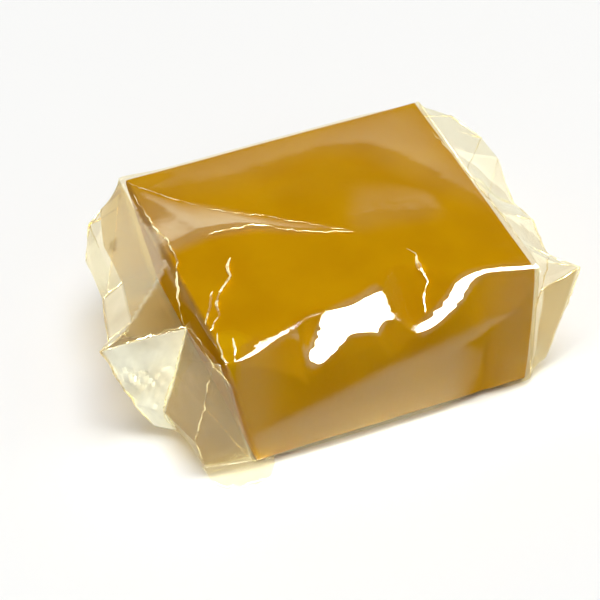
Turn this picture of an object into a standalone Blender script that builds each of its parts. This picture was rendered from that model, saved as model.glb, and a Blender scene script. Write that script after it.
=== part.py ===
"""A vanilla caramel in its clear film wrapper, lying on its flat base.

The caramel is one soft block. The wrapper is one sheet of clear film: a sleeve
round the block's four long sides, whose edges meet in a slit along the base,
and a loosely folded fold-over at each end. Left is -X, front is -Y, up is +Z.
"""

import bpy
import bmesh
from mathutils import Vector

# The block of caramel
CANDY_LENGTH = 0.0250
CANDY_WIDTH = 0.0218
CANDY_HEIGHT = 0.0113
CANDY_EDGE = 0.0017
SIDE_BULGE = 0.0005
TOP_CROWN = 0.0003
LEFT_UNDERCUT = 0.0024
RIGHT_UNDERCUT = 0.0003

# The film: its solid thickness, its clearance to the block, its rounded edges
FILM = 0.0002
CLEARANCE = 0.0003
SLEEVE_ROUNDING = 0.0011
SLEEVE_STATIONS = (-1.0, -0.6, -0.2, 0.2, 0.6, 1.0)
BASE_SLIT_Y = 0.0030
BASE_SLIT_WIDTH = 0.0003

HALF_LENGTH = CANDY_LENGTH / 2 + CLEARANCE + FILM
HALF_WIDTH = CANDY_WIDTH / 2 + CLEARANCE + FILM
SLEEVE_TOP = CANDY_HEIGHT + 2 * (CLEARANCE + FILM)

# Columns of an end fold as distances in from the front: the reach at each of its
# ridge and of its belly below, how far the column leans to the front as it drops,
# and how far its ridge is drawn up. The shoulder between the ridge and the top has
# a share of the ridge's reach, at a depth below the top
LEFT_END = {
    "side": -1,
    "columns": (0.0012, 0.0052, 0.0075, 0.0083, 0.0129, 0.0175, 0.0215),
    "ridge_out": (0.0005, 0.00095, 0.0075, 0.0061, 0.0050, 0.0049, 0.0032),
    "belly_out": (0.0021, 0.0033, 0.0052, 0.0042, 0.0029, 0.0027, 0.0018),
    "leans": (0.0005, 0.0003, 0.0016, 0.0010, 0.0, -0.0003, 0.0),
    "rises": (0.0016, 0.0021, 0.0, 0.0, 0.0, 0.0, 0.0),
    "ridge_drop": 0.0030,
    "shoulder_share": 0.66,
    "shoulder_drop": 0.0017,
}
RIGHT_END = {
    "side": 1,
    "columns": (0.0011, 0.0032, 0.0069, 0.0106, 0.0150, 0.0190, 0.0216),
    "ridge_out": (0.0041, 0.0024, 0.0029, 0.0033, 0.0038, 0.0042, 0.0026),
    "belly_out": (0.0023, 0.0013, 0.0016, 0.0018, 0.0021, 0.0024, 0.0015),
    "leans": (0.0, 0.0004, 0.0013, -0.0009, 0.0009, -0.0010, 0.0004),
    "rises": (0.0, 0.0001, 0.0006, -0.0007, 0.0003, -0.0006, 0.0002),
    "ridge_drop": 0.0023,
    "shoulder_share": 0.42,
    "shoulder_drop": 0.0010,
}
# Rows of a fold under its ridge, as shares of the sleeve's height, the foot row's
# share of the belly's reach, and how much of the ridge's rise each row takes
ROW_HEIGHTS = (0.09, 0.30, 0.52)
FOOT_SHARE = 0.71
RISE_SHARES = (0.0, 0.0, 0.3, 1.0, 0.6)

# Ears: corners of film that stand out where the sleeve's end was tucked in,
# as distances out from the sleeve's end, in from its nearer side, and up
FRONT_EAR = ((0.0016, 0.0010, 0.0012), (0.0003, -0.0016, 0.0004), (-0.0042, 0.0006, 0.0009))
BACK_EAR = ((0.0008, 0.0008, 0.0011), (0.0006, -0.0010, 0.0005), (-0.0026, 0.0006, 0.0009))

CARAMEL_COLOUR = (0.48, 0.25, 0.006, 1.0)
CARAMEL_ROUGHNESS = 0.42
FILM_COLOUR = (0.86, 0.82, 0.68, 1.0)
FILM_ROUGHNESS = 0.08
FILM_ALPHA = 0.3


def clear_scene():
    for item in list(bpy.data.objects):
        bpy.data.objects.remove(item, do_unlink=True)


def make_collection(name):
    collection = bpy.data.collections.new(name)
    bpy.context.scene.collection.children.link(collection)
    return collection


def make_material(name, colour, roughness, alpha=1.0):
    material = bpy.data.materials.new(name)
    material.use_nodes = True
    shader = material.node_tree.nodes["Principled BSDF"]
    shader.inputs["Base Color"].default_value = colour
    shader.inputs["Roughness"].default_value = roughness
    shader.inputs["Metallic"].default_value = 0.0
    shader.inputs["Alpha"].default_value = alpha
    material.diffuse_color = colour
    return material


def add_object(name, bm, collection, material):
    mesh = bpy.data.meshes.new(name)
    bm.to_mesh(mesh)
    bm.free()
    mesh.materials.append(material)
    item = bpy.data.objects.new(name, mesh)
    collection.objects.link(item)
    return item


def mix(low, high, share):
    return low + (high - low) * share


# The caramel: a coarse cage, bent to the block's form, under a smooth surface
def slump(point):
    """Bend a point of the straight block to the soft block's form."""
    along = point.x / (CANDY_LENGTH / 2)
    across = point.y / (CANDY_WIDTH / 2)
    height = point.z / CANDY_HEIGHT
    bulge = SIDE_BULGE * (1 - (2 * height - 1) ** 2) * (1 - 0.5 * along ** 2)
    crown = TOP_CROWN * height * (1 - along ** 2) * (1 - across ** 2)
    undercut = LEFT_UNDERCUT if along < 0 else RIGHT_UNDERCUT
    return Vector((
        point.x - along * undercut * (1 - height),
        point.y + across * bulge,
        point.z + crown,
    ))


def make_caramel(collection, material):
    bm = bmesh.new()
    bmesh.ops.create_cube(bm, size=1.0)
    size = Vector((CANDY_LENGTH, CANDY_WIDTH, CANDY_HEIGHT))
    bmesh.ops.scale(bm, vec=size, verts=bm.verts)
    bmesh.ops.translate(bm, vec=(0, 0, CANDY_HEIGHT / 2), verts=bm.verts)
    middle = Vector((0, 0, CANDY_HEIGHT / 2))
    for axis in range(3):
        normal = Vector((axis == 0, axis == 1, axis == 2))
        reach = size[axis] / 2 - CANDY_EDGE
        for offset in (-reach, 0.0, reach):
            geometry = bm.verts[:] + bm.edges[:] + bm.faces[:]
            bmesh.ops.bisect_plane(bm, geom=geometry, plane_co=middle + normal * offset, plane_no=normal)
    for vert in bm.verts:
        vert.co = slump(vert.co)
    bmesh.ops.recalc_face_normals(bm, faces=bm.faces)
    caramel = add_object("caramel", bm, collection, material)
    caramel.location.z = CLEARANCE + FILM
    smooth = caramel.modifiers.new("soft edges", "SUBSURF")
    smooth.levels = 2
    smooth.render_levels = 2
    caramel.data.shade_smooth()
    return caramel


# The wrapper: sleeve and end folds on one grid of columns and rows
def row_levels(end):
    """The height of each row of a fold, base to top."""
    low = [SLEEVE_TOP * height for height in ROW_HEIGHTS]
    return low + [SLEEVE_TOP - end["ridge_drop"], SLEEVE_TOP - end["shoulder_drop"]]


def fold_point(end, column, row):
    """A point of the folded film, off the block's end."""
    ridge, belly = end["ridge_out"][column], end["belly_out"][column]
    outs = (FOOT_SHARE * belly, belly, (belly + ridge) / 2, ridge, end["shoulder_share"] * ridge)
    height = row_levels(end)[row]
    sunk = max(0.0, 1 - height / (SLEEVE_TOP - end["ridge_drop"]))
    inset = end["columns"][column] - end["leans"][column] * sunk
    return Vector((
        end["side"] * (HALF_LENGTH + outs[row]),
        inset - HALF_WIDTH,
        height + end["rises"][column] * RISE_SHARES[row],
    ))


def rounded(y, z):
    """Pull a sleeve point into the rounding of the sleeve's long edges."""
    limit_y = HALF_WIDTH - SLEEVE_ROUNDING
    middle = SLEEVE_TOP / 2
    limit_z = middle - SLEEVE_ROUNDING
    core = Vector((max(-limit_y, min(limit_y, y)), max(-limit_z, min(limit_z, z - middle))))
    off = Vector((y, z - middle)) - core
    if min(abs(off.x), abs(off.y)) > 0:
        off = off.normalized() * SLEEVE_ROUNDING
    return core.x + off.x, core.y + off.y + middle


def sleeve_border(end):
    """The sleeve's outline at an end: front side up, top, back side down, base."""
    insets = [SLEEVE_ROUNDING] + list(end["columns"][1:-1]) + [2 * HALF_WIDTH - SLEEVE_ROUNDING]
    heights = row_levels(end)
    across = [inset - HALF_WIDTH for inset in insets]
    front = [(-HALF_WIDTH, 0.0)] + [(-HALF_WIDTH, height) for height in heights]
    top = [(-HALF_WIDTH, SLEEVE_TOP)] + [(y, SLEEVE_TOP) for y in across]
    back = [(HALF_WIDTH, SLEEVE_TOP)] + [(HALF_WIDTH, height) for height in reversed(heights)]
    base = [(HALF_WIDTH, 0.0)] + [(y, 0.0) for y in reversed(across)]
    return [rounded(y, z) for y, z in front + top + back + base]


def make_sleeve(bm):
    """Loft the sleeve between its two end outlines and return both."""
    left = sleeve_border(LEFT_END)
    right = sleeve_border(RIGHT_END)
    rings = []
    for station in SLEEVE_STATIONS:
        share = (station + 1) / 2
        lift = TOP_CROWN * (1 - station ** 2)
        swell = SIDE_BULGE * (1 - 0.5 * station ** 2)
        ring = []
        for start, finish in zip(left, right):
            y = mix(start[0], finish[0], share)
            z = mix(start[1], finish[1], share)
            height = z / SLEEVE_TOP
            across = y / HALF_WIDTH
            undercut = (LEFT_UNDERCUT if station < 0 else RIGHT_UNDERCUT) * (1 - height)
            x = station * (HALF_LENGTH - undercut)
            y += across * swell * (1 - (2 * height - 1) ** 2)
            z += lift * height * (1 - across ** 2)
            ring.append(bm.verts.new((x, y, z)))
        rings.append(ring)
    count = len(left)
    for near, far in zip(rings, rings[1:]):
        for index in range(count):
            after = (index + 1) % count
            bm.faces.new((near[index], far[index], far[after], near[after]))
    return rings[0], rings[-1]


def make_fold(bm, end, border):
    """Close an end of the sleeve with its faceted fold."""
    columns = len(end["columns"])
    rows = len(row_levels(end))
    front = border[:rows + 2]
    top = border[rows + 1:rows + columns + 3]
    back = border[rows + columns + 2:2 * rows + columns + 4][::-1]
    base = [border[0]] + border[2 * rows + columns + 3:][::-1]
    grid = [base]
    for row in range(rows):
        inner = [bm.verts.new(fold_point(end, column, row)) for column in range(columns)]
        grid.append([front[row + 1]] + inner + [back[row + 1]])
    grid.append(top)
    for lower, upper in zip(grid, grid[1:]):
        for column in range(columns + 1):
            corners = (lower[column], lower[column + 1], upper[column + 1], upper[column])
            bm.faces.new(corners if end["side"] > 0 else corners[::-1])


def cut_slit(bm):
    """Part the base along the line where the sheet's two edges meet."""
    for offset in (-BASE_SLIT_WIDTH / 2, BASE_SLIT_WIDTH / 2):
        geometry = bm.verts[:] + bm.edges[:] + bm.faces[:]
        plane_point = (0, BASE_SLIT_Y + offset, 0)
        bmesh.ops.bisect_plane(bm, geom=geometry, plane_co=plane_point, plane_no=(0, 1, 0))
    slit = []
    for face in bm.faces:
        centre = face.calc_center_median()
        in_slit = abs(centre.y - BASE_SLIT_Y) < BASE_SLIT_WIDTH / 2
        if in_slit and face.normal.z < -0.9 and abs(centre.x) < HALF_LENGTH:
            slit.append(face)
    bmesh.ops.delete(bm, geom=slit, context="FACES")


def thicken(item, offset):
    wall = item.modifiers.new("film thickness", "SOLIDIFY")
    wall.thickness = FILM
    wall.offset = offset
    wall.use_even_offset = True


def make_ear(name, corners, end, side, guides, material):
    """A flat triangle of film at a lower corner of the sleeve."""
    bm = bmesh.new()
    points = [
        bm.verts.new((end * (HALF_LENGTH + out), side * (HALF_WIDTH - inset), up))
        for out, inset, up in corners
    ]
    bm.faces.new(points)
    ear = add_object(name, bm, guides, material)
    thicken(ear, 0.0)
    ear.hide_render = True
    ear.display_type = "WIRE"
    return ear


def join_ears(item, guides):
    union = item.modifiers.new("ears", "BOOLEAN")
    union.operation = "UNION"
    union.solver = "EXACT"
    union.operand_type = "COLLECTION"
    union.collection = guides


def make_wrapper(collection, material):
    bm = bmesh.new()
    left, right = make_sleeve(bm)
    make_fold(bm, LEFT_END, left)
    make_fold(bm, RIGHT_END, right)
    bmesh.ops.recalc_face_normals(bm, faces=bm.faces)
    bm.normal_update()
    cut_slit(bm)
    film_wrapper = add_object("film_wrapper", bm, collection, material)
    thicken(film_wrapper, -1.0)
    return film_wrapper


def centre_on_base(parts, guides):
    """Stand the parts on an empty whose foot is the middle of their box."""
    bpy.context.view_layer.update()
    graph = bpy.context.evaluated_depsgraph_get()
    corners = []
    for part in parts:
        seen = part.evaluated_get(graph)
        corners += [seen.matrix_world @ Vector(corner) for corner in seen.bound_box]
    middle_x = (min(c.x for c in corners) + max(c.x for c in corners)) / 2
    middle_y = (min(c.y for c in corners) + max(c.y for c in corners)) / 2
    anchor = bpy.data.objects.new("wrapped_caramel_anchor", None)
    parts[0].users_collection[0].objects.link(anchor)
    anchor.location = (-middle_x, -middle_y, 0.0)
    for item in parts + guides:
        item.parent = anchor


clear_scene()
wrapped_caramel = make_collection("wrapped_caramel")
candy = make_caramel(wrapped_caramel, make_material("caramel", CARAMEL_COLOUR, CARAMEL_ROUGHNESS))
clear_film = make_material("clear_film", FILM_COLOUR, FILM_ROUGHNESS, FILM_ALPHA)
wrapper = make_wrapper(wrapped_caramel, clear_film)
film_ears = make_collection("film_ears")
front_ear = make_ear("front_ear", FRONT_EAR, -1, -1, film_ears, clear_film)
back_ear = make_ear("back_ear", BACK_EAR, 1, 1, film_ears, clear_film)
join_ears(wrapper, film_ears)
centre_on_base([candy, wrapper], [front_ear, back_ear])
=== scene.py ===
"""A vanilla caramel in its clear film wrapper, on a plain pale floor.

Left is -X, front is -Y and up is +Z. Film sizes are millimetres from the middle
of the caramel's base; make_mesh and path_mesh turn them into the frame's metres.
"""

import math

import bpy
import numpy as np
from mathutils import Matrix, Vector


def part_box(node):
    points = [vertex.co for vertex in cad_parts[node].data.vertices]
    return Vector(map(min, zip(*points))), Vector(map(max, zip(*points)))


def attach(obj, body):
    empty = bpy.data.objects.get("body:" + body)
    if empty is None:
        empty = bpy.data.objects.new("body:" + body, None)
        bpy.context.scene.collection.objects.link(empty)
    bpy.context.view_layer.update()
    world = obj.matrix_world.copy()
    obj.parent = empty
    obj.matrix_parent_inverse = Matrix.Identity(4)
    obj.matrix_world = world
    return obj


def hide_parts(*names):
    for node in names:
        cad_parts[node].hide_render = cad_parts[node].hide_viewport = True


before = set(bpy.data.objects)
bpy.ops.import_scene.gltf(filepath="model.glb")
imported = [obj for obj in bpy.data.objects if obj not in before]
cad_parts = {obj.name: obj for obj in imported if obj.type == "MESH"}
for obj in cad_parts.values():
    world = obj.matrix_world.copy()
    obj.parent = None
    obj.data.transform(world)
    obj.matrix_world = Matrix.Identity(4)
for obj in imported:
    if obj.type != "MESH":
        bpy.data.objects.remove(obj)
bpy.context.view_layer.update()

# The form. The film was rolled tight round a soft block, so the two share one form:
# a box with round edges, whose left end leans in towards the base, and whose front
# top edge has been pressed into flat facets. It is worked out once, as rings of points.
MM = 0.001
HALF_LENGTH = 12.95
HALF_WIDTH = 11.4
SLEEVE_TOP = 12.3
BASE_LIFT = 0.03
SIDE_SWELL = 0.45
CROWN = 0.28
LEFT_UNDERCUT = 2.4
RIGHT_UNDERCUT = 0.3
EDGE_ROUND = 0.85
ON_OUTLINE = 1e-6
STATIONS = 112
ROW_COUNTS = (5, 9, 9, 11, 8, 8)

# The two ends, where the film is folded over: columns of the fold as distances in from
# the front, how many fine columns lie between them, and how far its ridge and its
# shoulder lie down from the top
LEFT_END = {
    "side": -1,
    "undercut": LEFT_UNDERCUT,
    "columns": (1.2, 5.2, 7.5, 8.3, 12.9, 17.5, 21.5),
    "fine": (8, 14, 18, 4, 15, 13, 12, 6),
    "ridge_drop": 3.0,
    "shoulder_drop": 1.7,
}
RIGHT_END = {
    "side": 1,
    "undercut": RIGHT_UNDERCUT,
    "columns": (1.1, 3.2, 6.9, 10.6, 15.0, 19.0, 21.6),
    "fine": (8, 12, 13, 13, 15, 13, 10, 6),
    "ridge_drop": 2.3,
    "shoulder_drop": 1.0,
}
ROW_HEIGHTS = (0.09, 0.30, 0.52)

# The pressed front top edge. At distances along the block, a narrow facet that takes
# the window's shine: how far in from the front and down from the top its middle lies,
# how wide it is, how steeply it and the slope above it face up, in degrees, and how
# loose the film is there
SHINE_TRACK = (
    (-13.0, 0.15, 0.6, 0.05, 40, 57, 0.35), (-11.4, 0.2, 0.6, 0.1, 40, 57, 0.35),
    (-9.8, 0.45, 0.5, 0.1, 40, 50, 0.4), (-8.4, 0.8, 0.3, 0.1, 40, 40, 0.4),
    (-7.3, 1.15, 0.15, 0.1, 40, 22, 0.5), (-6.5, 1.3, 0.9, 0.2, 40, 18, 0.7),
    (-6.2, 0.6, 2.6, 0.7, 40, 18, 0.8), (-5.8, 0.55, 2.8, 1.2, 40, 18, 0.9),
    (-5.2, 0.75, 2.4, 1.8, 40, 20, 0.9), (-4.6, 0.9, 1.9, 2.3, 40, 30, 0.9),
    (-3.6, 1.05, 1.15, 2.4, 42, 57, 0.9), (-2.6, 1.2, 0.7, 2.0, 47, 57, 0.9),
    (-1.2, 1.25, 0.8, 2.4, 48, 57, 0.9), (-0.4, 1.35, 0.95, 2.9, 49, 57, 0.9),
    (0.2, 1.7, 0.75, 2.6, 50, 57, 0.9), (0.7, 1.9, 0.7, 2.2, 50, 57, 0.8),
    (0.9, 1.6, 0.95, 2.0, 52, 57, 0.4), (1.2, 1.3, 1.15, 1.2, 56, 57, 0.0),
    (1.8, 0.5, 2.0, 0.2, 56, 57, 0.0), (2.5, 0.15, 2.8, 0.1, 42, 57, 0.0),
    (3.0, 0.2, 2.9, 0.5, 42, 57, 0.7), (3.5, 0.25, 2.8, 0.6, 42, 57, 0.9),
    (4.6, 0.42, 2.25, 0.75, 42, 57, 0.9), (5.5, 0.55, 1.6, 0.9, 42, 57, 0.9),
    (6.2, 0.7, 1.0, 1.15, 42, 57, 0.9), (6.9, 0.95, 0.6, 1.1, 42, 57, 0.9),
    (7.7, 1.3, 0.3, 0.6, 42, 57, 0.7), (8.8, 1.45, 0.2, 0.1, 40, 57, 0.5),
    (10.4, 1.15, 0.2, 0.1, 40, 57, 0.4), (13.0, 0.4, 0.3, 0.1, 40, 57, 0.4),
)
BELOW_FACES = 16.0
FACET_PASSES = 1

# Crinkles near that edge, as many small waves: their height and their lengths, the way
# that they push, and how far up and out they begin. A weaker share is where film clings
CRINKLES = 14
CRINKLE_SEED = 5
CRINKLE_HEIGHT = 0.035
CRINKLE_WAVES = (0.9, 4.5)
CRINKLE_MEAN = 0.64
CRINKLE_WAY = (0.0, -0.7, 0.7)
CRINKLE_UP = (5.0, 7.5)
CRINKLE_OUT = (3.5, 5.5)
CLING_CRINKLE = 0.25

# A shallow dent in the front, at its distance along and up
DENT_AT = (8.7, 3.8)
DENT_REACH = (0.6, 2.6)
DENT_DEPTH = 0.45
DENT_EDGE = 1.0


def fine_levels(marks, counts):
    """Levels that pass through every mark, with counts steps between them."""
    levels = [marks[0]]
    for low, high, count in zip(marks, marks[1:], counts):
        levels += [low + (high - low) * (step + 1) / count for step in range(count)]
    return np.array(levels)


def column_marks(end):
    return (0.0,) + end["columns"] + (2 * HALF_WIDTH,)


def row_marks(end):
    low = tuple(SLEEVE_TOP * height for height in ROW_HEIGHTS)
    high = (SLEEVE_TOP - end["ridge_drop"], SLEEVE_TOP - end["shoulder_drop"], SLEEVE_TOP)
    return (0.0,) + low + high


def outline(end):
    """The square outline of the sleeve at an end: front, top, back, base."""
    across = fine_levels(column_marks(end), end["fine"]) - HALF_WIDTH
    up = fine_levels(row_marks(end), ROW_COUNTS)
    front = [(-HALF_WIDTH, z) for z in up]
    top = [(y, SLEEVE_TOP) for y in across[1:]]
    back = [(HALF_WIDTH, z) for z in up[-2::-1]]
    base = [(y, 0.0) for y in across[-2:0:-1]]
    return np.array(front + top + back + base)


def bend_corner(y, z, corner):
    """Carry points near a square corner onto its small round bend."""
    off_y, off_z = np.abs(y - corner[0]), np.abs(z - corner[1])
    share = 0.5 + 0.5 * off_y / EDGE_ROUND - 0.5 * off_z / EDGE_ROUND
    near = (share > 0) & (share < 1) & (np.minimum(off_y, off_z) < ON_OUTLINE)
    angle = share * math.pi / 2
    bent_y, bent_z = EDGE_ROUND * (1 - np.cos(angle)), EDGE_ROUND * (1 - np.sin(angle))
    inward_y, inward_z = -np.sign(corner[0]), -1.0 if corner[1] > 0 else 1.0
    y = np.where(near, corner[0] + inward_y * bent_y, y)
    z = np.where(near, corner[1] + inward_z * bent_z, z)
    return y, z


def shine_track(along):
    """The values of the pressed edge at distances along the block."""
    track = np.array(SHINE_TRACK).T
    return [np.interp(along, track[0], row) for row in track[1:]]


def front_bend(y, z, along):
    """Carry points near the square front top corner onto the shine facet and its slopes."""
    inset, down, wide, faces, above, _ = shine_track(along)
    faces, above = np.radians(faces), np.radians(above)
    reach = np.minimum(wide / 2, np.minimum(down / np.cos(faces), inset / np.sin(faces)))
    upper = inset + reach * np.sin(faces), down - reach * np.cos(faces)
    lower = inset - reach * np.sin(faces), down + reach * np.cos(faces)
    top = upper[0] + upper[1] * np.tan(above), 0 * down
    foot = 0 * inset, lower[1] + lower[0] / math.tan(math.radians(BELOW_FACES))
    off_y, off_z = y + HALF_WIDTH, SLEEVE_TOP - z
    share = 0.5 + 0.5 * off_y / top[0] - 0.5 * off_z / foot[1]
    near = (share > 0) & (share < 1) & (np.minimum(off_y, off_z) < ON_OUTLINE)
    knots = (foot, lower, upper, top)
    lengths = [np.hypot(b[0] - a[0], b[1] - a[1]) for a, b in zip(knots, knots[1:])]
    gone, whole = np.zeros_like(along), sum(lengths)
    bent_y, bent_z = 0 * share, 0 * share + foot[1]
    for (start, end), length in zip(zip(knots, knots[1:]), lengths):
        part = np.clip((share * whole - gone) / np.maximum(length, 1e-9), 0, 1)
        bent_y = bent_y + part * (end[0] - start[0])
        bent_z = bent_z + part * (end[1] - start[1])
        gone = gone + length
    return np.where(near, -HALF_WIDTH + bent_y, y), np.where(near, SLEEVE_TOP - bent_z, z)


def smooth_step(value, low, high):
    """0 up to low, 1 from high, smooth between."""
    share = np.clip((value - low) / (high - low), 0, 1)
    return share * share * (3 - 2 * share)


def soften(values, times):
    """Smooth values over the sleeve's grid, whose rings are closed."""
    for _ in range(times):
        values = (np.roll(values, 1, 1) + 2 * values + np.roll(values, -1, 1)) / 4
        inner = (values[:-2] + 2 * values[1:-1] + values[2:]) / 4
        values = np.vstack([values[:1], inner, values[-1:]])
    return values


def crinkle(points, seed):
    """Small sharp waves in all directions."""
    random = np.random.default_rng(seed)
    height = np.zeros(points.shape[:-1])
    for _ in range(CRINKLES):
        way = random.normal(0, 1, 3)
        way *= 2 * math.pi / random.uniform(*CRINKLE_WAVES) / np.linalg.norm(way)
        height += np.abs(np.sin(points @ way + random.uniform(0, math.pi))) - CRINKLE_MEAN
    return height * CRINKLE_HEIGHT / math.sqrt(CRINKLES)


def sleeve_grid():
    """Points of the sleeve, one ring for each station from left to right."""
    station = np.linspace(-1.0, 1.0, STATIONS)[:, None]
    share = (station + 1) / 2
    square = (1 - share[..., None]) * outline(LEFT_END) + share[..., None] * outline(RIGHT_END)
    y, z = square[..., 0], square[..., 1]
    along = station * HALF_LENGTH
    y, z = front_bend(y, z, along)
    for corner in ((HALF_WIDTH, SLEEVE_TOP), (HALF_WIDTH, 0.0), (-HALF_WIDTH, 0.0)):
        y, z = bend_corner(y, z, corner)
    height, across = z / SLEEVE_TOP, y / HALF_WIDTH
    undercut = np.where(station < 0, LEFT_UNDERCUT, RIGHT_UNDERCUT) * (1 - height)
    x = station * (HALF_LENGTH - undercut)
    swell = SIDE_SWELL * (1 - 0.5 * station ** 2)
    y = y + across * swell * (1 - (2 * height - 1) ** 2)
    z = z + CROWN * (1 - station ** 2) * height * (1 - across ** 2)
    off = ((x - DENT_AT[0]) / DENT_REACH[0]) ** 2 + ((z - DENT_AT[1]) / DENT_REACH[1]) ** 2
    y = y + DENT_DEPTH * np.exp(-off) * smooth_step(-y, HALF_WIDTH - DENT_EDGE, HALF_WIDTH)
    points = np.stack([x, y, z + BASE_LIFT], axis=-1)
    near = smooth_step(z, *CRINKLE_UP) * smooth_step(-y, *CRINKLE_OUT)
    points += (soften(points, FACET_PASSES) - points) * near[..., None]
    near = near * (CLING_CRINKLE + (1 - CLING_CRINKLE) * shine_track(along)[-1])
    points += (crinkle(points, CRINKLE_SEED) * near)[..., None] * np.array(CRINKLE_WAY)
    return points


sleeve_form = sleeve_grid()


# The caramel. One soft block, cut from a slab of cooked sugar, milk and butter:
# its long sides keep faint lines from the rollers, its edges have slumped round,
# and it fills its tight sleeve, so what would stand out of the sleeve is pressed in.
class Wire:
    """A socket of a node tree, on which Python's operators add Math nodes."""

    def __init__(self, tree, socket=None):
        self.tree = tree
        self.socket = socket

    def node(self, kind, settings=None, sockets=None, output=0):
        """Add a node: its settings first, then the values or links of its sockets."""
        made = self.tree.nodes.new(kind)
        for name, value in (settings or {}).items():
            setattr(made, name, value)
        for name, value in (sockets or {}).items():
            if isinstance(value, Wire):
                self.tree.links.new(value.socket, made.inputs[name])
            else:
                made.inputs[name].default_value = value
        return Wire(self.tree, made.outputs[output] if made.outputs else None)

    def out(self, name):
        return Wire(self.tree, self.socket.node.outputs[name])

    def maths(self, operation, *values):
        return self.node("ShaderNodeMath", {"operation": operation}, dict(enumerate(values)))

    def vector(self, operation, *values, scale=None):
        sockets = dict(enumerate((self,) + values))
        if scale is not None:
            sockets["Scale"] = scale
        output = "Value" if operation in ("DOT_PRODUCT", "LENGTH") else "Vector"
        return self.node("ShaderNodeVectorMath", {"operation": operation}, sockets, output)

    def part(self, axis):
        return self.node("ShaderNodeSeparateXYZ", None, {0: self}, axis)

    def joined(self, *parts):
        """A vector of three parts."""
        return self.node("ShaderNodeCombineXYZ", None, dict(enumerate(parts)))

    def noise(self, scale, detail, output=0):
        """Noise read at this place."""
        sockets = {"Vector": self, "Scale": scale, "Detail": detail}
        return self.node("ShaderNodeTexNoise", None, sockets, output)

    def blend_colour(self, first, second):
        """Mix two colours by this share."""
        settings = {"data_type": "RGBA"}
        return self.node("ShaderNodeMix", settings, {0: self, 6: first, 7: second}, 2)

    def blend_shader(self, first, second):
        """Mix two shaders by this share."""
        return self.node("ShaderNodeMixShader", None, {0: self, 1: first, 2: second})

    def between(self, low, high):
        """0 up to low, 1 from high, smooth between."""
        settings = {"interpolation_type": "SMOOTHSTEP"}
        return self.node("ShaderNodeMapRange", settings, {0: self, 1: low, 2: high})

    def __add__(self, other):
        return self.maths("ADD", self, other)

    def __radd__(self, other):
        return self.maths("ADD", other, self)

    def __sub__(self, other):
        return self.maths("SUBTRACT", self, other)

    def __rsub__(self, other):
        return self.maths("SUBTRACT", other, self)

    def __mul__(self, other):
        return self.maths("MULTIPLY", self, other)

    def __rmul__(self, other):
        return self.maths("MULTIPLY", other, self)

    def __truediv__(self, other):
        return self.maths("DIVIDE", self, other)

    def __pow__(self, other):
        return self.maths("POWER", self, other)


def paint(name, shade):
    """A new material, whose shader shade makes from the place on the piece."""
    material = bpy.data.materials.new(name)
    material.use_nodes = True
    material.node_tree.nodes.clear()
    place = Wire(material.node_tree).node("ShaderNodeTexCoord", output="Object")
    place.node("ShaderNodeOutputMaterial", None, {"Surface": shade(place)})
    return material


BLOCK_LOW, BLOCK_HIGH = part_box("caramel")
BLOCK_SIZE = BLOCK_HIGH - BLOCK_LOW
BLOCK_FOOT = Vector(((BLOCK_LOW.x + BLOCK_HIGH.x) / 2, (BLOCK_LOW.y + BLOCK_HIGH.y) / 2, 0.0))
BLOCK_GROWTH = Vector((0.36, 0.75, 0.75)) * MM
BLOCK_GRID = (120, 104, 56)
BLOCK_FORM = {
    "Edge": 0.8 * MM,
    "Side Bulge": 0.5 * MM,
    "Top Crown": 0.3 * MM,
    "Left Undercut": LEFT_UNDERCUT * MM,
    "Right Undercut": RIGHT_UNDERCUT * MM,
    "Roller Lines": 0.07 * MM,
    "Unevenness": 0.14 * MM,
    "Room": 0.17 * MM,
}
CARAMEL_GOLD = (0.520, 0.282, 0.002, 1.0)
CARAMEL_BROWN = (0.462, 0.238, 0.0015, 1.0)
CARAMEL_GLOW = (0.0007, 0.0004, 0.0001)


def caramel_shader(place):
    clouds = place.noise(170.0, 3.0)
    grain = place.noise(1900.0, 2.0)
    colour = clouds.between(0.30, 0.72).blend_colour(CARAMEL_BROWN, CARAMEL_GOLD)
    dents = place.node("ShaderNodeBump", None, {"Strength": 0.12, "Distance": 0.0002, "Height": grain})
    sockets = {
        "Base Color": colour,
        "Roughness": 0.28 + clouds * 0.12,
        "Normal": dents,
        "Subsurface Weight": 0.2,
        "Subsurface Radius": CARAMEL_GLOW,
        "Subsurface Scale": 1.0,
        "Specular IOR Level": 0.0,
    }
    return place.node("ShaderNodeBsdfPrincipled", None, sockets)


def start_tree(name, inputs):
    """A Geometry Nodes tree with these inputs, each given with its kind."""
    tree = bpy.data.node_groups.new(name, "GeometryNodeTree")
    for title, kind in inputs.items():
        tree.interface.new_socket(title, in_out="INPUT", socket_type="NodeSocket" + kind)
    tree.interface.new_socket("Geometry", in_out="OUTPUT", socket_type="NodeSocketGeometry")
    return Wire(tree)


def end_tree(shape, material):
    """Shade the tree's shape smooth, make it real and give it its material."""
    smooth = shape.node("GeometryNodeSetShadeSmooth", None, {"Geometry": shape})
    real = shape.node("GeometryNodeRealizeInstances", None, {"Geometry": smooth})
    painted = shape.node("GeometryNodeSetMaterial", None, {"Geometry": real, "Material": material})
    shape.node("NodeGroupOutput", None, {"Geometry": painted})
    return shape.tree


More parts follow.
